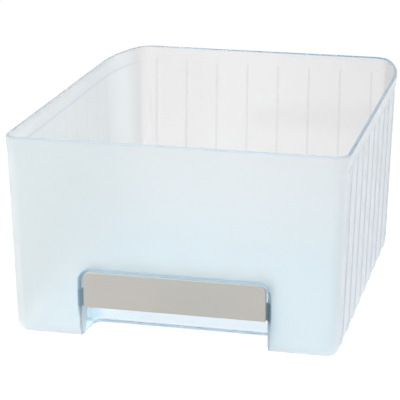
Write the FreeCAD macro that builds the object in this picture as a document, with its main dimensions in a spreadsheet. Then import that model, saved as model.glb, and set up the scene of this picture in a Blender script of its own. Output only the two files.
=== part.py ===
import FreeCAD, Part
import math
import os

import Sketcher

# Fridge crisper drawer: a clear moulded tub with drafted, ribbed walls whose sides sweep in to the back,
# a stepped rim band, and a finger recess in the front behind a grey grip plate.
# Millimetres. The drawer stands on z = 0, its front faces -Y and the origin is under its middle.

document = FreeCAD.newDocument("crisper_drawer")

# Driving dimensions
DIMENSIONS = {
    # Tub, outside, measured at the rim
    "rim_width": 300,
    "rim_depth": 400,
    "height": 181,
    "wall_thickness": 2.5,
    "draft_angle": 1.6,
    "edge_radius": 11,
    # Plan: straight sides up to the bend, then a wide sweep to the back corners
    "bend_start": 312,
    "bend_radius": 200,
    "back_corner_radius": 20,
    # Rim band, which steps out over a long slope and turns the front corners a little wider than the walls
    "rim_band_height": 6,
    "rim_band_step": 1.4,
    "rim_band_slope": 9,
    "rim_corner_extra": 0.6,
    "rim_edge_bevel": 0.8,
    # Shallow upright ribs outside the sides and the back
    "rib_width": 1.6,
    "rib_height": 0.8,
    "side_rib_start": 30.5,
    "side_rib_pitch": 35,
    "side_rib_count": 9,
    "back_rib_pitch": 32.8,
    "back_rib_count": 8,
    # Finger recess, open to the front and below, whose top turns down behind in a wide bend
    "recess_width": 165.5,
    "recess_height": 62.4,
    "recess_depth": 44,
    "recess_turn_radius": 28,
    "recess_corner_radius": 9,
    "recess_mouth_radius": 3,
    "recess_foot_radius": 0.6,
    # Grip plate in the mouth of the recess, held by a tab at each end
    "plate_thickness": 3,
    "plate_setback": 2,
    "plate_end_gap": 1.5,
    "plate_top_gap": 0.8,
    "plate_bottom": 29,
    "plate_top_radius": 7,
    "plate_foot_radius": 1.5,
    "plate_edge_bevel": 0.5,
    "tab_bottom": 30.2,
    "tab_height": 16,
    "tab_thickness": 1.8,
    "tab_clearance": 0.25,
}
sheet = document.addObject("Spreadsheet::Sheet", "sizes")
for row, (alias, number) in enumerate(DIMENSIONS.items(), start=1):
    sheet.set(f"A{row}", alias.replace("_", " "))
    sheet.set(f"B{row}", str(number))
    sheet.setAlias(f"B{row}", alias)
document.recompute()

# Lengths that several pieces share, all measured from the rim or from the floor
RIM_HALF = "sizes.rim_width / 2"
RIM_REACH = "sizes.rim_depth / 2"
BAND_LEVEL = "(sizes.height - sizes.rim_band_height)"
WALL_TOP = "(sizes.height - sizes.rim_band_height - sizes.rim_band_slope)"
WALL_INSET = "sizes.rim_band_step"
FLOOR_INSET = f"({WALL_INSET} + {WALL_TOP} * tan(sizes.draft_angle))"
FRONT_FOOT = f"({RIM_REACH} - {FLOOR_INSET})"
SLOPE_ANGLE = "atan(sizes.rim_band_step / sizes.rim_band_slope)"

# Sketch references
ORIGIN = (-1, 1)
UPRIGHT_AXIS = -2
START, END = range(1, 3)
QUARTER = math.pi / 2
NEAR = 1e-4


def worth(expression):
    """The present number of an expression over the sheet."""
    return float(sheet.evalExpression(expression))


def new_body(label):
    body = document.addObject("PartDesign::Body", label)
    body.Label = label
    body.AllowCompound = True
    return body


def origin_feature(body, role):
    return next(feature for feature in body.Origin.OriginFeatures if feature.Role == role)


def new_sketch(body, name, plane, **offsets):
    """A sketch on one of the body's own planes, moved along that plane's axes."""
    sketch = body.newObject("Sketcher::SketchObject", name)
    sketch.AttachmentSupport = (origin_feature(body, plane), [""])
    sketch.MapMode = "FlatFace"
    for axis, offset in offsets.items():
        sketch.setExpression(f"AttachmentOffset.Base.{axis}", offset)
    return sketch


def line(start_x, start_y, end_x, end_y):
    return Part.LineSegment(FreeCAD.Vector(start_x, start_y, 0), FreeCAD.Vector(end_x, end_y, 0))


def arc(centre_x, centre_y, radius, first, last):
    circle = Part.Circle(FreeCAD.Vector(centre_x, centre_y, 0), FreeCAD.Vector(0, 0, 1), radius)
    return Part.ArcOfCircle(circle, first, last)


def draw_loop(sketch, edges, corners):
    """Draws named edges as one closed loop, smooth except at the named corners; returns their numbers."""
    sketch.addGeometry(list(edges.values()), False)
    names = list(edges)
    for number, name in enumerate(names):
        following = (number + 1) % len(names)
        joint = "Coincident" if (name, names[following]) in corners else "Tangent"
        sketch.addConstraint(Sketcher.Constraint(joint, number, END, following, START))
    return {name: number for number, name in enumerate(names)}


def relate(sketch, kind, *where):
    sketch.addConstraint(Sketcher.Constraint(kind, *where))


def dimension(sketch, name, size, kind, *where):
    """Adds a driving constraint and ties it to the sheet."""
    index = sketch.addConstraint(Sketcher.Constraint(kind, *where, worth(size)))
    sketch.renameConstraint(index, name)
    sketch.setExpression(f"Constraints.{name}", size)


def plan_outline(body, name, level, inset, front_radius=None):
    """Plan of the tub at one level, moved in from the rim by an inset; sharp front corners if no radius."""
    sketch = new_sketch(body, name, "XY_Plane", z=level)
    half_width = worth(f"{RIM_HALF} - {inset}")
    reach = worth(f"{RIM_REACH} - {inset}")
    bend = worth(f"sizes.bend_radius - {inset}")
    back_radius = worth(f"sizes.back_corner_radius - {inset}")
    front_corner = worth(front_radius) if front_radius else 0

    # The sweep of the side and the back corner share a tangent, so their centres lie on one line
    sweep_x = half_width - bend
    sweep_y = worth(f"sizes.bend_start - {RIM_REACH}")
    corner_y = reach - back_radius
    turn = math.asin((corner_y - sweep_y) / (bend - back_radius))
    corner_x = sweep_x + (bend - back_radius) * math.cos(turn)
    front_x = half_width - front_corner
    front_y = front_corner - reach

    edges = {"front": line(-front_x, -reach, front_x, -reach)}
    if front_radius:
        edges["right_front"] = arc(front_x, front_y, front_corner, -QUARTER, 0)
    edges["right"] = line(half_width, front_y, half_width, sweep_y)
    edges["right_bend"] = arc(sweep_x, sweep_y, bend, 0, turn)
    edges["right_back"] = arc(corner_x, corner_y, back_radius, turn, QUARTER)
    edges["back"] = line(corner_x, reach, -corner_x, reach)
    edges["left_back"] = arc(-corner_x, corner_y, back_radius, QUARTER, math.pi - turn)
    edges["left_bend"] = arc(-sweep_x, sweep_y, bend, math.pi - turn, math.pi)
    edges["left"] = line(-half_width, sweep_y, -half_width, front_y)
    if front_radius:
        edges["left_front"] = arc(-front_x, front_y, front_corner, math.pi, math.pi + QUARTER)
    at = draw_loop(sketch, edges, corners=[("front", "right"), ("left", "front")])

    relate(sketch, "Vertical", at["right"])
    relate(sketch, "Vertical", at["left"])
    for edge in ("front", "back"):
        relate(sketch, "Symmetric", at[edge], START, at[edge], END, UPRIGHT_AXIS)
    relate(sketch, "Equal", at["right_bend"], at["left_bend"])
    relate(sketch, "Equal", at["right_back"], at["left_back"])
    dimension(sketch, "half_width", f"{RIM_HALF} - {inset}", "DistanceX", *ORIGIN, at["right"], START)
    dimension(sketch, "front_reach", f"{RIM_REACH} - {inset}", "DistanceY", at["front"], START, *ORIGIN)
    dimension(sketch, "back_reach", f"{RIM_REACH} - {inset}", "DistanceY", *ORIGIN, at["back"], START)
    dimension(sketch, "straight", f"sizes.bend_start - {inset}", "DistanceY", at["front"], END, at["right"], END)
    dimension(sketch, "bend", f"sizes.bend_radius - {inset}", "Radius", at["right_bend"])
    dimension(sketch, "back_corner", f"sizes.back_corner_radius - {inset}", "Radius", at["right_back"])
    if front_radius:
        relate(sketch, "Equal", at["right_front"], at["left_front"])
        dimension(sketch, "front_corner", front_radius, "Radius", at["right_front"])
    return sketch


def arched_outline(sketch, half_width, bottom, top, top_radius):
    """Front view of the plate: a wide rectangle with rounded top corners."""
    half, low, high, radius = (worth(size) for size in (half_width, bottom, top, top_radius))
    edges = {
        "foot": line(-half, low, half, low),
        "right": line(half, low, half, high - radius),
        "right_top": arc(half - radius, high - radius, radius, 0, QUARTER),
        "crown": line(half - radius, high, radius - half, high),
        "left_top": arc(radius - half, high - radius, radius, QUARTER, math.pi),
        "left": line(-half, high - radius, -half, low),
    }
    at = draw_loop(sketch, edges, corners=[("foot", "right"), ("left", "foot")])
    relate(sketch, "Vertical", at["right"])
    relate(sketch, "Vertical", at["left"])
    relate(sketch, "Symmetric", at["foot"], START, at["foot"], END, UPRIGHT_AXIS)
    relate(sketch, "Horizontal", at["crown"])
    relate(sketch, "Equal", at["right_top"], at["left_top"])
    dimension(sketch, "half_width", half_width, "DistanceX", *ORIGIN, at["right"], END)
    dimension(sketch, "top", top, "DistanceY", *ORIGIN, at["crown"], START)
    dimension(sketch, "tall", f"{top} - {bottom}", "DistanceY", at["foot"], START, at["crown"], END)
    dimension(sketch, "top_corner", top_radius, "Radius", at["right_top"])


def rectangle(sketch, width, tall):
    """A rectangle about the sketch's own origin."""
    half_x = worth(width) / 2
    half_y = worth(tall) / 2
    edges = {
        "low": line(-half_x, -half_y, half_x, -half_y),
        "right": line(half_x, -half_y, half_x, half_y),
        "high": line(half_x, half_y, -half_x, half_y),
        "left": line(-half_x, half_y, -half_x, -half_y),
    }
    names = list(edges)
    at = draw_loop(sketch, edges, corners=list(zip(names, names[1:] + names[:1])))
    for edge in ("low", "high"):
        relate(sketch, "Horizontal", at[edge])
    for edge in ("right", "left"):
        relate(sketch, "Vertical", at[edge])
    relate(sketch, "Symmetric", at["low"], START, at["high"], START, *ORIGIN)
    dimension(sketch, "width", width, "DistanceX", at["low"], START, at["low"], END)
    dimension(sketch, "tall", tall, "DistanceY", at["right"], START, at["right"], END)


def pad(body, name, sketch, length, reverse=False):
    feature = body.newObject("PartDesign::Pad", name)
    feature.Profile = sketch
    feature.setExpression("Length", length)
    feature.Reversed = reverse
    document.recompute()
    return feature


def lean_out(body, name, block, neutral, angle, low, high):
    """Drafts the upright faces between two levels, so that they lean out above the neutral outline."""
    faces = []
    for number, face in enumerate(block.Shape.Faces, start=1):
        box = face.BoundBox
        if abs(box.ZMin - low) < NEAR and abs(box.ZMax - high) < NEAR:
            faces.append(f"Face{number}")
    draft = body.newObject("PartDesign::Draft", name)
    draft.Base = (block, faces)
    draft.NeutralPlane = neutral
    draft.setExpression("Angle", angle)
    draft.Reversed = True
    document.recompute()
    return draft


def edges_where(shape, test):
    """Names of the edges that pass a test over all of their length."""
    names = []
    for number, edge in enumerate(shape.Edges, start=1):
        if not edge.Degenerated and all(test(point) for point in edge.discretize(5)):
            names.append(f"Edge{number}")
    return names


def round_edges(body, name, base, test, radius):
    fillet = body.newObject("PartDesign::Fillet", name)
    fillet.Base = (base, edges_where(base.Shape, test))
    fillet.setExpression("Radius", radius)
    document.recompute()
    return fillet


def bevel_edges(body, name, base, test, size):
    bevel = body.newObject("PartDesign::Chamfer", name)
    bevel.Base = (base, edges_where(base.Shape, test))
    bevel.setExpression("Size", size)
    document.recompute()
    return bevel


def boolean(kind, label, base, tool):
    result = document.addObject(kind, label)
    result.Base = base
    result.Tool = tool
    result.Refine = True
    document.recompute()
    return result


def tub_walls(label, inset, lift, wall_height, edge_radius):
    """Drafted walls that stand on a floor outline, with the floor edge and front corners rounded alike."""
    body = new_body(label)
    floor_plan = plan_outline(body, f"{label}_floor_plan", lift, f"({FLOOR_INSET} + {inset})")
    block = pad(body, f"{label}_block", floor_plan, wall_height)
    floor = worth(lift)
    walls = lean_out(body, f"{label}_walls", block, (floor_plan, [""]), "sizes.draft_angle",
                     floor, floor + worth(wall_height))

    def on_floor_or_front_corner(point):
        from_side = worth(RIM_HALF) - abs(point.x)
        from_front = worth(RIM_REACH) + point.y
        return abs(point.z - floor) < NEAR or abs(from_side - from_front) < NEAR

    round_edges(body, f"{label}_edges", walls, on_floor_or_front_corner, edge_radius)
    return body


def add_rim_band(body, inset, lift, edge_radius):
    """The short slope out to the rim, and the upright band above it."""
    label = body.Label
    low = worth(f"{WALL_TOP} + {lift}")
    high = worth(f"{BAND_LEVEL} + {lift}")
    corner_radius = f"{edge_radius} + sizes.rim_corner_extra"
    slope_plan = plan_outline(body, f"{label}_slope_plan", f"{WALL_TOP} + {lift}",
                              f"({WALL_INSET} + {inset})", corner_radius)
    slope = pad(body, f"{label}_slope_block", slope_plan, "sizes.rim_band_slope")
    lean_out(body, f"{label}_slope", slope, (slope_plan, [""]), SLOPE_ANGLE, low, high)
    band_plan = plan_outline(body, f"{label}_band_plan", f"{BAND_LEVEL} + {lift}", f"({inset})",
                             f"{corner_radius} + sizes.rim_band_step")
    return pad(body, f"{label}_band", band_plan, "sizes.rim_band_height")


# Outside of the tub, with the top edge of its rim bevelled
outside = tub_walls("outside", "0", "0", WALL_TOP, "sizes.edge_radius")
rim_band = add_rim_band(outside, "0", "0", "sizes.edge_radius")
bevel_edges(outside, "rim_edge", rim_band,
            lambda point: abs(point.z - worth("sizes.height")) < NEAR, "sizes.rim_edge_bevel")

# Hollow of the tub: the same form, one wall thickness further in and up
INNER_EDGE = "sizes.edge_radius - sizes.wall_thickness"
hollow = tub_walls("hollow", "sizes.wall_thickness", "sizes.wall_thickness", WALL_TOP, INNER_EDGE)
add_rim_band(hollow, "sizes.wall_thickness", "sizes.wall_thickness", INNER_EDGE)

# Ribs: thin slices of a slightly larger tub, which fade out at the floor edge and run up into the band
rib_skin = tub_walls("rib_skin", "(-sizes.rib_height)", "0", BAND_LEVEL, "sizes.edge_radius")


def rib_slices(label, width, depth, place, axis, pitch, count):
    """A row of thin upright slices across the tub, one for each rib or pair of ribs."""
    body = new_body(label)
    sketch = new_sketch(body, f"{label}_plan", "XY_Plane", **place)
    rectangle(sketch, width, depth)
    first = pad(body, f"{label}_first", sketch, BAND_LEVEL)
    row = body.newObject("PartDesign::LinearPattern", f"{label}_row")
    row.Originals = [first]
    row.Direction = (origin_feature(body, axis), [""])
    row.Mode = "Spacing"
    row.setExpression("Offset", pitch)
    row.setExpression("Occurrences", count)
    body.Tip = row
    document.recompute()
    return body


side_slices = rib_slices("side_slices", "sizes.rim_width", "sizes.rib_width",
                         {"y": f"sizes.side_rib_start - {RIM_REACH}"},
                         "Y_Axis", "sizes.side_rib_pitch", "sizes.side_rib_count")
back_slices = rib_slices("back_slices", "sizes.rib_width", RIM_REACH,
                         {"x": "-(sizes.back_rib_count - 1) * sizes.back_rib_pitch / 2", "y": f"{RIM_REACH} / 2"},
                         "X_Axis", "sizes.back_rib_pitch", "sizes.back_rib_count")
ribbed = outside
for label, slices in (("side_ribs", side_slices), ("back_ribs", back_slices)):
    ribs = boolean("Part::Common", label, rib_skin, slices)
    ribbed = boolean("Part::Fuse", f"tub_with_{label}", ribbed, ribs)


def recess_block(label, grow):
    """The finger recess, or its outside skin when grown by the wall: its side view, carried across its width."""
    body = new_body(label)
    half_width = f"(sizes.recess_width / 2 + {grow})"
    back = f"(sizes.recess_depth + {grow} - {FRONT_FOOT})"
    top = f"(sizes.recess_height + {grow})"
    turn_radius = f"(sizes.recess_turn_radius + {grow})"
    sketch = new_sketch(body, f"{label}_side_view", "YZ_Plane", z=f"-{half_width}")
    near, low = worth(f"-{RIM_REACH}"), worth("-sizes.wall_thickness")
    far, high, radius = (worth(size) for size in (back, top, turn_radius))
    edges = {
        "foot": line(near, low, far, low),
        "back": line(far, low, far, high - radius),
        "turn": arc(far - radius, high - radius, radius, 0, QUARTER),
        "crown": line(far - radius, high, near, high),
        "front": line(near, high, near, low),
    }
    at = draw_loop(sketch, edges, corners=[("foot", "back"), ("crown", "front"), ("front", "foot")])
    for edge in ("foot", "crown"):
        relate(sketch, "Horizontal", at[edge])
    for edge in ("back", "front"):
        relate(sketch, "Vertical", at[edge])
    dimension(sketch, "front_place", RIM_REACH, "DistanceX", at["foot"], START, *ORIGIN)
    dimension(sketch, "foot_place", "sizes.wall_thickness", "DistanceY", at["foot"], START, *ORIGIN)
    dimension(sketch, "depth", f"{back} + {RIM_REACH}", "DistanceX", at["foot"], START, at["foot"], END)
    dimension(sketch, "tall", f"{top} + sizes.wall_thickness", "DistanceY", at["front"], END, at["front"], START)
    dimension(sketch, "turn_radius", turn_radius, "Radius", at["turn"])
    block = pad(body, f"{label}_width", sketch, f"2 * {half_width}")

    def on_side_turn(point):
        """True on the bend of each side; the straight edges that run on from it are rounded with it."""
        on_side = abs(abs(point.x) - worth(half_width)) < NEAR
        return on_side and min(point.y - near, point.z - low) > NEAR

    round_edges(body, f"{label}_side_edges", block, on_side_turn, f"sizes.recess_corner_radius + {grow}")
    return body


# The recess is cut from the ribbed tub
recess = recess_block("recess", "0")
tub_with_recess = boolean("Part::Cut", "tub_with_recess", ribbed, recess)


def on_recess_mouth(point):
    """True where the skin of the recess meets the outside of the tub."""
    spot = Part.Vertex(point)
    to_recess = recess.Shape.Shells[0].distToShape(spot)[0]
    to_outside = outside.Shape.Shells[0].distToShape(spot)[0]
    return max(to_recess, to_outside) < NEAR


def mouth_radius(point):
    """Full on the front, and small where the mouth has turned under the floor."""
    return worth("sizes.recess_foot_radius" if point.z < NEAR else "sizes.recess_mouth_radius")


# The edge of the mouth is rounded, less so where it turns under and runs on around the cut in the floor
rounded_tub = document.addObject("Part::Fillet", "rounded_tub")
rounded_tub.Base = tub_with_recess
mouth_edges = []
for name in edges_where(tub_with_recess.Shape, on_recess_mouth):
    edge = tub_with_recess.Shape.getElement(name)
    first, last = (edge.valueAt(parameter) for parameter in edge.ParameterRange)
    mouth_edges.append((int(name.removeprefix("Edge")), mouth_radius(first), mouth_radius(last)))
rounded_tub.Edges = mouth_edges
document.recompute()

# The walls of the recess are what the hollow leaves standing around it
recess_skin = recess_block("recess_skin", "sizes.wall_thickness")
clear_hollow = boolean("Part::Cut", "clear_hollow", hollow, recess_skin)
tub = boolean("Part::Cut", "tub", rounded_tub, clear_hollow)


def seat_on_front(body):
    """Turns a body so that its own XZ plane lies in the leaning front of the tub, with x and z as before."""
    body.Placement = FreeCAD.Placement(FreeCAD.Vector(), FreeCAD.Rotation(FreeCAD.Vector(1, 0, 0), 1))
    body.setExpression("Placement.Rotation.Angle", "sizes.draft_angle")
    body.setExpression("Placement.Base.y", f"-{FRONT_FOOT}")


def tab_bar(body, name, reach, clearance):
    """A bar across the recess whose ends are the two tabs, or the two slots that take them."""
    front = "(sizes.plate_setback + sizes.plate_thickness - sizes.tab_thickness)"
    sketch = new_sketch(body, name, "XZ_Plane", y="sizes.tab_bottom + sizes.tab_height / 2",
                        z=f"{clearance} - {front}")
    rectangle(sketch, f"sizes.recess_width + 2 * ({reach})", f"sizes.tab_height + 2 * {clearance}")
    return pad(body, f"{name}_length", sketch, f"sizes.tab_thickness + 2 * {clearance}", reverse=True)


# A slot through each cheek of the recess takes a tab of the plate
tab_slots = new_body("tab_slots")
seat_on_front(tab_slots)
tab_bar(tab_slots, "slot_bar", "sizes.wall_thickness + sizes.tab_clearance", "sizes.tab_clearance")
drawer_body = boolean("Part::Cut", "drawer_body", tub, tab_slots)

# Grip plate: stands in the mouth of the recess, its foot corners rounded and its front edges bevelled
handle_plate = new_body("handle_plate")
seat_on_front(handle_plate)
plate_view = new_sketch(handle_plate, "plate_front_view", "XZ_Plane", z="-sizes.plate_setback")
PLATE_HALF = "sizes.recess_width / 2 - sizes.plate_end_gap"
arched_outline(plate_view, PLATE_HALF, "sizes.plate_bottom", "sizes.recess_height - sizes.plate_top_gap",
               "sizes.plate_top_radius")
slab = pad(handle_plate, "plate_slab", plate_view, "sizes.plate_thickness", reverse=True)


def on_foot_corner(point):
    from_foot = abs(point.z - worth("sizes.plate_bottom"))
    from_end = abs(abs(point.x) - worth(PLATE_HALF))
    return max(from_foot, from_end) < NEAR


def on_plate_front(point):
    return abs(point.y - worth("sizes.plate_setback")) < NEAR


plate_foot = round_edges(handle_plate, "plate_foot", slab, on_foot_corner, "sizes.plate_foot_radius")
bevel_edges(handle_plate, "plate_front_edges", plate_foot, on_plate_front, "sizes.plate_edge_bevel")

# The tabs are the ends of a bar along the back of the plate
tab_bar(handle_plate, "tab_bar", "sizes.wall_thickness - sizes.tab_clearance", "0")

# Both pieces are checked and written
for item in document.Objects:
    if "Invalid" in item.State or "Error" in item.State:
        raise RuntimeError(f"{item.Label} failed: {item.State}")
os.makedirs("parts", exist_ok=True)
for piece in (drawer_body, handle_plate):
    if piece.Shape.isNull() or not piece.Shape.isValid():
        raise RuntimeError(f"{piece.Label} has no valid shape")
    piece.Shape.exportStep(f"parts/{piece.Label}.step")
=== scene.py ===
import math

import bmesh
import bpy
from mathutils import Matrix, Vector


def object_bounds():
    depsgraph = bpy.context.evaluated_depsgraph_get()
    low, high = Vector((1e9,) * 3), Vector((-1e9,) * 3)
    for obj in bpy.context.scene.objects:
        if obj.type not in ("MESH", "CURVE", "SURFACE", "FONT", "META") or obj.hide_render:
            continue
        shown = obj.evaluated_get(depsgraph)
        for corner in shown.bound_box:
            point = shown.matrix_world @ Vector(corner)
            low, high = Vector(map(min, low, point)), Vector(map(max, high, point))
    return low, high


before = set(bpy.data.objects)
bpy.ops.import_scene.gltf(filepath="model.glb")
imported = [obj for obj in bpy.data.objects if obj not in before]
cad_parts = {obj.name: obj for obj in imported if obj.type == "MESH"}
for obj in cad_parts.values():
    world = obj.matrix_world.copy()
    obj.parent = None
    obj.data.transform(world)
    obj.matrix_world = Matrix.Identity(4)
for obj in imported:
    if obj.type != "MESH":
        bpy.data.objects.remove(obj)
cad_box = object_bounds()


# Drawer body. The tub is one injection moulding in clear polystyrene with a pale blue tint: drafted walls,
# shallow ribs outside, a stepped rim and the finger recess in its front. It carries the grip plate.
MILLIMETRE = 0.001


def linear(hex_code):
    """An sRGB hex colour as the linear red, green, blue and alpha that the shaders take."""
    channels = [int(hex_code[place:place + 2], 16) / 255 for place in (1, 3, 5)]
    return [c / 12.92 if c <= 0.04045 else ((c + 0.055) / 1.055) ** 2.4 for c in channels] + [1.0]


def add(tree, kind, sockets=None, **settings):
    """Adds a node with its settings, and gives its input sockets their values or links."""
    node = tree.nodes.new(kind)
    for name, value in settings.items():
        setattr(node, name, value)
    for name, value in (sockets or {}).items():
        if isinstance(value, bpy.types.NodeSocket):
            tree.links.new(value, node.inputs[name])
        else:
            node.inputs[name].default_value = value
    return node


def new_material(name):
    """An empty node material, with its tree and output node."""
    material = bpy.data.materials.new(name)
    material.use_nodes = True
    tree = material.node_tree
    tree.nodes.clear()
    return material, tree, add(tree, "ShaderNodeOutputMaterial")


def moulded_smoothing(crease_degrees):
    """A modifier group that joins the loose triangles and shades them smooth up to a crease angle."""
    group = bpy.data.node_groups.new("moulded_smoothing", "GeometryNodeTree")
    group.interface.new_socket("Mesh", in_out="INPUT", socket_type="NodeSocketGeometry")
    group.interface.new_socket("Mesh", in_out="OUTPUT", socket_type="NodeSocketGeometry")
    joined = add(group, "GeometryNodeMergeByDistance", {
        "Geometry": add(group, "NodeGroupInput").outputs["Mesh"], "Distance": 0.01 * MILLIMETRE})
    rounded = add(group, "GeometryNodeSetShadeSmooth", {"Geometry": joined.outputs["Geometry"]},
                  domain="FACE")
    angle = add(group, "GeometryNodeInputMeshEdgeAngle")
    gentle = add(group, "FunctionNodeCompare",
                 {0: angle.outputs["Unsigned Angle"], 1: math.radians(crease_degrees)},
                 data_type="FLOAT", operation="LESS_THAN")
    creased = add(group, "GeometryNodeSetShadeSmooth",
                  {"Geometry": rounded.outputs["Geometry"], "Shade Smooth": gentle.outputs["Result"]},
                  domain="EDGE")
    add(group, "NodeGroupOutput", {"Mesh": creased.outputs["Geometry"]})
    return group


smoothing = moulded_smoothing(crease_degrees=28)


def smooth_out(piece):
    """Smooth roundings beside faces that stay flat: large faces have the most say in the normals."""
    piece.modifiers.new("smoothing", "NODES").node_group = smoothing
    even_normals = piece.modifiers.new("even_normals", "WEIGHTED_NORMAL")
    even_normals.mode = "FACE_AREA_WITH_ANGLE"
    even_normals.keep_sharp = True


drawer_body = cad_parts["drawer_body"]
smooth_out(drawer_body)

# Sizes and places on the drawer in millimetres. The front, the back and the rim come from the frame.
BAND_HEIGHT = 15
SIDE_RIB_START = 30.5
SIDE_RIB_PITCH = 35
SIDE_RIB_COUNT = 9
BACK_RIB_PITCH = 32.8
RECESS_HALF_WIDTH = 82.75
RECESS_HEIGHT = 62.4
RECESS_DEPTH = 44
RECESS_CORNER_RADIUS = 9
TAB_FOOT = 30
TAB_TOP = 46.2
front = cad_box[0][1] / MILLIMETRE
back = cad_box[1][1] / MILLIMETRE
rim = cad_box[1][2] / MILLIMETRE
band_foot = rim - BAND_HEIGHT
first_side_rib = front + SIDE_RIB_START
last_side_rib = first_side_rib + (SIDE_RIB_COUNT - 1) * SIDE_RIB_PITCH
recess_back = front + RECESS_DEPTH


def zone(tree, *edges):
    """A factor that is 1 inside all the edges of a zone. An edge is a length on the piece, with the place
    where the zone begins and the place from which it is full, both in millimetres."""
    factor = 1.0
    for length, begins, full in edges:
        edge = add(tree, "ShaderNodeMapRange", {
            "Value": length, "From Min": begins * MILLIMETRE, "From Max": full * MILLIMETRE})
        factor = add(tree, "ShaderNodeMath", {0: factor, 1: edge.outputs["Result"]},
                     operation="MULTIPLY").outputs[0]
    return factor


def tinted(tree, tint, colour, *edges):
    """The tint so far, turned to another colour inside a zone with these edges."""
    return add(tree, "ShaderNodeMix", {"Factor": zone(tree, *edges), "A": tint, "B": colour},
               data_type="RGBA").outputs["Result"]


def from_nearest_rib(tree, length, first_rib, pitch):
    """How far a point lies from the nearest of a row of ribs that stand along this length."""
    in_row = add(tree, "ShaderNodeMath", {0: length, 1: first_rib * MILLIMETRE}, operation="SUBTRACT")
    return add(tree, "ShaderNodeMath", {0: in_row.outputs[0], 1: pitch / 2 * MILLIMETRE},
               operation="PINGPONG").outputs[0]


# Polystyrene from a polished mould, with a refractive index of 1.59: clear and glossy at the back, the rim
# and the recess, while a fine haze on the front and the sides softens what is seen through them. Light
# gathers the blue on its way along inside a wall, and that blue is painted into the base colour by place:
# strong at the rim and at the mouth of the recess, faint on the front, the sides and the floor, and nearly
# neutral at the back. Painted shade greys the back and darkens the ribs and the foot of the rim band, and
# painted light lifts the recess walls under the plate.
clear_plastic, tree, output = new_material("clear_polystyrene")
place = add(tree, "ShaderNodeTexCoord").outputs["Object"]
axes = add(tree, "ShaderNodeSeparateXYZ", {"Vector": place}).outputs
across, along, up = axes["X"], axes["Y"], axes["Z"]
folded_place = add(tree, "ShaderNodeVectorMath", {0: place}, operation="ABSOLUTE").outputs["Vector"]
from_middle = add(tree, "ShaderNodeSeparateXYZ", {"Vector": folded_place}).outputs["X"]

# The front, and the sides with painted shade along their ribs and at the foot of the rim band
low_tint = tinted(tree, linear("#F7FEFF"), linear("#FBFFFF"), (across, -40, -130))
front_tint = tinted(tree, linear("#F9FEFF"), low_tint, (up, rim - 31, rim - 86))
side_tint_and_shade = tinted(tree, linear("#F9FEFF"), linear("#FBFDFF"), (across, -100, 100))
# Painted shade: darker lines along the side ribs, darkest at the right
painted_rib_shade = tinted(tree, linear("#E8F0F6"), linear("#CCD7E5"), (across, -100, 100))
from_rib = from_nearest_rib(tree, along, first_side_rib, SIDE_RIB_PITCH)
side_tint_and_shade = tinted(tree, side_tint_and_shade, painted_rib_shade, (from_rib, 1.3, 0.6),
                   (along, last_side_rib + 13.5, last_side_rib + 7.5), (up, band_foot + 1, band_foot - 1))
# Painted shade: a darker line at the foot of the rim band
side_tint_and_shade = tinted(tree, side_tint_and_shade, linear("#E3EAF1"),
                   (up, band_foot - 2.5, band_foot - 1), (up, band_foot + 1.5, band_foot))
tint_and_painted_light = tinted(tree, front_tint, side_tint_and_shade, (along, front + 9, front + 13))

# The back in painted grey shade, darker to the right and along its ribs, and the floor
painted_back_shade = tinted(tree, linear("#E5E4E4"), linear("#DDDCDC"), (across, 0, 120))
painted_rib_shade = tinted(tree, linear("#DEDEDF"), linear("#D5D5D6"), (across, 0, 120))
from_rib = from_nearest_rib(tree, across, BACK_RIB_PITCH / 2, BACK_RIB_PITCH)
painted_back_shade = tinted(tree, painted_back_shade, painted_rib_shade, (from_rib, 1.3, 0.6), (up, band_foot + 1, band_foot - 1))
tint_and_painted_light = tinted(tree, tint_and_painted_light, painted_back_shade, (along, back - 40, back - 6))
floor_tint = tinted(tree, linear("#DCE7EF"), linear("#E3EDF4"), (along, 120, -120))
tint_and_painted_light = tinted(tree, tint_and_painted_light, floor_tint, (along, front + 9, front + 13), (up, 5, 3))

# The walls of the recess, first as a whole in a pale blue and then low down, where they are seen under the
# plate: there painted light lifts them to near white against the plate's shade, with a pale blue towards the
# cheeks
tint_and_painted_light = tinted(tree, tint_and_painted_light, linear("#F3F9FC"),
                   (along, front + 9, front + 12), (along, recess_back + 16, recess_back + 6),
                   (up, RECESS_HEIGHT + 7.6, RECESS_HEIGHT + 3.6),
                   (from_middle, RECESS_HALF_WIDTH + 7, RECESS_HALF_WIDTH + 5))
painted_recess_light = tinted(tree, linear("#FDFEFF"), linear("#E0F2FB"),
                     (from_middle, RECESS_HALF_WIDTH - 9, RECESS_HALF_WIDTH - 2))
tint_and_painted_light = tinted(tree, tint_and_painted_light, painted_recess_light,
                   (along, front + 10, front + 14), (along, recess_back + 10, recess_back + 6),
                   (up, 34, 26), (from_middle, RECESS_HALF_WIDTH + 5, RECESS_HALF_WIDTH + 3))

# The rim in a painted blue for the light that runs along inside the wall where it is seen edge on: bluest at
# the right, paler at the front
painted_rim_blue = tinted(tree, linear("#D4DFE9"), linear("#82ACCE"), (across, -120, 120))
painted_rim_blue = tinted(tree, painted_rim_blue, linear("#DCE9F2"), (along, front + 14, front + 8))
tint_and_painted_light = tinted(tree, tint_and_painted_light, painted_rim_blue, (up, rim - 1.6, rim - 1.1))

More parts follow.
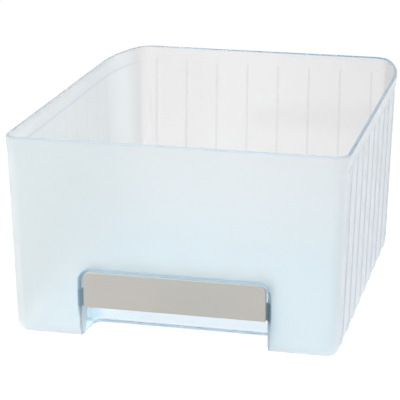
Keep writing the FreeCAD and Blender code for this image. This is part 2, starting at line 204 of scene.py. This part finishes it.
# The mouth of the recess in a painted blue for the light bent through its rounded edge, lighter towards its
# top, with painted shade where the tabs stand behind it. The band is found by how far a point lies out from
# the centres of its rounded top corners
corner_centre = (RECESS_HALF_WIDTH - RECESS_CORNER_RADIUS, 0, RECESS_HEIGHT - RECESS_CORNER_RADIUS)
outward = add(tree, "ShaderNodeVectorMath",
              {0: folded_place, 1: [length * MILLIMETRE for length in corner_centre]}, operation="SUBTRACT")
outward = add(tree, "ShaderNodeVectorMath", {0: outward.outputs["Vector"], 1: (0, 0, 0)},
              operation="MAXIMUM")
outward = add(tree, "ShaderNodeVectorMath", {0: outward.outputs["Vector"], 1: (1, 0, 1)},
              operation="MULTIPLY")
reach = add(tree, "ShaderNodeVectorMath", {0: outward.outputs["Vector"]}, operation="LENGTH").outputs["Value"]
mouth_edges = [(reach, RECESS_CORNER_RADIUS - 0.2, RECESS_CORNER_RADIUS + 0.2),
               (reach, RECESS_CORNER_RADIUS + 3.6, RECESS_CORNER_RADIUS + 2.6),
               (along, front + 12, front + 9), (up, 18, 30)]
painted_mouth_blue = tinted(tree, linear("#AECDDE"), linear("#97B8CB"), (up, 60, 52))
tint_and_painted_light = tinted(tree, tint_and_painted_light, painted_mouth_blue, *mouth_edges)
# Painted shade: a darker strip at the height of the tabs
tint_and_painted_light = tinted(tree, tint_and_painted_light, linear("#7C9CAD"), *mouth_edges,
                   (up, TAB_FOOT - 0.5, TAB_FOOT + 0.5), (up, TAB_TOP + 0.5, TAB_TOP - 0.5))

# The skin: slow waves from the flow of the melt, and the haze
FROSTING = 0.23
flow_waves = add(tree, "ShaderNodeTexNoise", {"Vector": place, "Scale": 1 / (45 * MILLIMETRE)})
ripple = add(tree, "ShaderNodeBump",
             {"Height": flow_waves.outputs["Fac"], "Strength": 0.25, "Distance": 0.4 * MILLIMETRE})
haze = add(tree, "ShaderNodeTexNoise", {"Vector": place, "Scale": 1 / (12 * MILLIMETRE), "Detail": 6.0})
shine = add(tree, "ShaderNodeMapRange", {"Value": haze.outputs["Fac"], "To Min": 0.07, "To Max": 0.13})
on_front = zone(tree, (along, front + 26, front + 18))
on_side = zone(tree, (from_middle, 122, 130), (up, rim - 1, rim - 1.6))
frosted = add(tree, "ShaderNodeMath", {0: on_front, 1: on_side}, operation="MAXIMUM")
shine = add(tree, "ShaderNodeMath", {0: frosted.outputs[0], 1: FROSTING, 2: shine.outputs["Result"]},
            operation="MULTIPLY_ADD")
plastic = add(tree, "ShaderNodeBsdfPrincipled", {
    "Base Color": tint_and_painted_light, "IOR": 1.59, "Transmission Weight": 0.95,
    "Roughness": shine.outputs[0], "Normal": ripple.outputs["Normal"]})

# The tint inside the walls, and a clear way for the light of the lamps
depth_tint = add(tree, "ShaderNodeVolumeAbsorption", {"Color": linear("#93C4DC"), "Density": 2.8})
rays = add(tree, "ShaderNodeLightPath")
lamp_light = add(tree, "ShaderNodeBsdfTransparent", {"Color": linear("#F8FCFE")})
see_through = add(tree, "ShaderNodeMixShader", {
    0: rays.outputs["Is Shadow Ray"], 1: plastic.outputs["BSDF"], 2: lamp_light.outputs["BSDF"]})
tree.links.new(see_through.outputs["Shader"], output.inputs["Surface"])
tree.links.new(depth_tint.outputs["Volume"], output.inputs["Volume"])
drawer_body.material_slots[0].material = clear_plastic


# Grip plate. A flat moulding in warm grey ABS. Its end tabs sit in the slots of the recess, and the fingers
# go in under its lower edge.
PLATE_END_GAP = 1.5
plate_end = RECESS_HALF_WIDTH - PLATE_END_GAP
handle_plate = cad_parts["handle_plate"]
smooth_out(handle_plate)

# ABS from an eroded mould: an even, satin grey with a broad, soft sheen. The grit of the mould is drawn
# coarser than the real one, which would be too fine to show. The tabs are painted a dark blue-grey for the
# shade of their slots and the blue of the clear wall around them.
grey_plastic, tree, output = new_material("satin_abs")
place = add(tree, "ShaderNodeTexCoord").outputs["Object"]
across = add(tree, "ShaderNodeSeparateXYZ", {"Vector": place}).outputs["X"]
from_middle = add(tree, "ShaderNodeMath", {0: across}, operation="ABSOLUTE").outputs[0]
shading = add(tree, "ShaderNodeTexNoise", {"Vector": place, "Scale": 1 / (60 * MILLIMETRE)})
grey = add(tree, "ShaderNodeMix",
           {"Factor": shading.outputs["Fac"], "A": linear("#C3BCB8"), "B": linear("#B3B3AC")},
           data_type="RGBA")
# Painted shade on the tabs, in a dark blue-grey
plate_colour_and_tab_shade = tinted(tree, grey.outputs["Result"], linear("#6F8B98"),
                      (from_middle, plate_end + 0.05, plate_end + 0.35))
grit = add(tree, "ShaderNodeTexNoise", {"Vector": place, "Scale": 1 / (1.2 * MILLIMETRE), "Detail": 4.0})
shine = add(tree, "ShaderNodeMapRange", {"Value": grit.outputs["Fac"], "To Min": 0.42, "To Max": 0.58})
erosion = add(tree, "ShaderNodeBump",
              {"Height": grit.outputs["Fac"], "Strength": 0.2, "Distance": 0.1 * MILLIMETRE})
abs_plastic = add(tree, "ShaderNodeBsdfPrincipled", {
    "Base Color": plate_colour_and_tab_shade, "IOR": 1.54, "Roughness": shine.outputs["Result"],
    "Normal": erosion.outputs["Normal"]})
tree.links.new(abs_plastic.outputs["BSDF"], output.inputs["Surface"])
handle_plate.material_slots[0].material = grey_plastic


# Floor. A white sheet under the drawer, lifted to white for the eye and for what is seen in and through the
# plastic, while a share of it is still lit and keeps the soft shadow.
FLOOR_HALF = 4.0
FLOOR_GAP = 0.4 * MILLIMETRE
GLOW_SHARE = 0.9
mesh = bpy.data.meshes.new("studio_floor")
sheet = bmesh.new()
bmesh.ops.create_grid(sheet, x_segments=1, y_segments=1, size=FLOOR_HALF,
                      matrix=Matrix.Translation((0, 0, -FLOOR_GAP)))
sheet.to_mesh(mesh)
sheet.free()
floor = bpy.data.objects.new("studio_floor", mesh)
bpy.context.scene.collection.objects.link(floor)
floor_paint, tree, output = new_material("white_floor_paint")


def seen_rays(tree):
    """A factor of 1 for rays that show the surroundings to the eye, directly or by way of the plastic."""
    rays = add(tree, "ShaderNodeLightPath").outputs
    direct = add(tree, "ShaderNodeMath", {0: rays["Is Camera Ray"], 1: rays["Is Glossy Ray"]},
                 operation="MAXIMUM")
    return add(tree, "ShaderNodeMath", {0: direct.outputs[0], 1: rays["Is Transmission Ray"]},
               operation="MAXIMUM").outputs[0]


def shown(tree, direct, through, mirrored):
    """A light strength for the eye, for what is seen through the plastic and for what is mirrored in it."""
    rays = add(tree, "ShaderNodeLightPath").outputs
    strength = add(tree, "ShaderNodeMath", {0: rays["Is Transmission Ray"], 1: through - direct, 2: direct},
                   operation="MULTIPLY_ADD")
    return add(tree, "ShaderNodeMath",
               {0: rays["Is Reflection Ray"], 1: mirrored - direct, 2: strength.outputs[0]},
               operation="MULTIPLY_ADD").outputs[0]


lit = add(tree, "ShaderNodeBsdfDiffuse", {"Color": linear("#F2F2F2")})
lit_share = add(tree, "ShaderNodeBsdfDiffuse", {"Color": linear("#656565")})
glow = add(tree, "ShaderNodeEmission", {
    "Color": linear("#FFFFFF"), "Strength": shown(tree, direct=GLOW_SHARE, through=1.0, mirrored=0.92)})
lifted = add(tree, "ShaderNodeAddShader", {0: lit_share.outputs["BSDF"], 1: glow.outputs["Emission"]})
paint = add(tree, "ShaderNodeMixShader",
            {0: seen_rays(tree), 1: lit.outputs["BSDF"], 2: lifted.outputs["Shader"]})
tree.links.new(paint.outputs["Shader"], output.inputs["Surface"])
floor_paint.cycles.emission_sampling = "NONE"
mesh.materials.append(floor_paint)


# Studio light. A white surround for the eye and a softer one as fill, a key lamp in front and to the left,
# and a wide lamp overhead.
world = bpy.data.worlds.new("studio")
bpy.context.scene.world = world
world.use_nodes = True
world.cycles.sampling_method = "NONE"
tree = world.node_tree
tree.nodes.clear()
fill = add(tree, "ShaderNodeBackground", {"Color": linear("#FFFFFF"), "Strength": 0.55})
white = add(tree, "ShaderNodeBackground", {
    "Color": linear("#FFFFFF"), "Strength": shown(tree, direct=1.0, through=1.05, mirrored=0.97)})
surround = add(tree, "ShaderNodeMixShader",
               {0: seen_rays(tree), 1: fill.outputs["Background"], 2: white.outputs["Background"]})
add(tree, "ShaderNodeOutputWorld", {"Surface": surround.outputs["Shader"]})
LAMP_TARGET = Vector((0, 0, 0.1))


def soft_lamp(name, position, width, watts):
    """A square lamp of this width in metres that faces the middle of the drawer."""
    light = bpy.data.lights.new(name, "AREA")
    light.shape = "SQUARE"
    light.size = width
    light.energy = watts
    lamp = bpy.data.objects.new(name, light)
    lamp.location = position
    lamp.rotation_euler = (LAMP_TARGET - Vector(position)).to_track_quat("-Z", "Y").to_euler()
    bpy.context.scene.collection.objects.link(lamp)


soft_lamp("key_lamp", position=(-0.9, -1.2, 1.6), width=1.2, watts=22)
soft_lamp("top_lamp", position=(0.3, 0.4, 1.8), width=3.0, watts=17)

# Light that runs along inside a clear wall is turned back many times before it leaves by an edge
TURNS_IN_A_WALL = 160
light_paths = bpy.context.scene.cycles
light_paths.max_bounces = TURNS_IN_A_WALL
light_paths.glossy_bounces = TURNS_IN_A_WALL
light_paths.transmission_bounces = TURNS_IN_A_WALL


# Camera. It stands to the right of the front and looks down at the drawer. The place, the turn and the lens
# come from the outline of the drawer in the photograph.
FOCAL_PIXELS = 1780.55
IMAGE_PIXELS = 400
CAMERA_PLACE = (0.3482, -1.5998, 0.5681)
CAMERA_TURN = math.radians(13.01)
CAMERA_DIP = math.radians(16.72)
CAMERA_ROLL = math.radians(0.19)
camera_data = bpy.data.cameras.new("camera")
camera_data.sensor_width = 36
camera_data.lens = FOCAL_PIXELS / IMAGE_PIXELS * camera_data.sensor_width
camera = bpy.data.objects.new("camera", camera_data)
camera.matrix_world = (Matrix.Translation(CAMERA_PLACE) @ Matrix.Rotation(CAMERA_TURN, 4, "Z")
                       @ Matrix.Rotation(math.pi / 2 - CAMERA_DIP, 4, "X")
                       @ Matrix.Rotation(CAMERA_ROLL, 4, "Z"))
bpy.context.scene.collection.objects.link(camera)
bpy.context.scene.camera = camera
bpy.context.scene.view_settings.view_transform = "Standard"
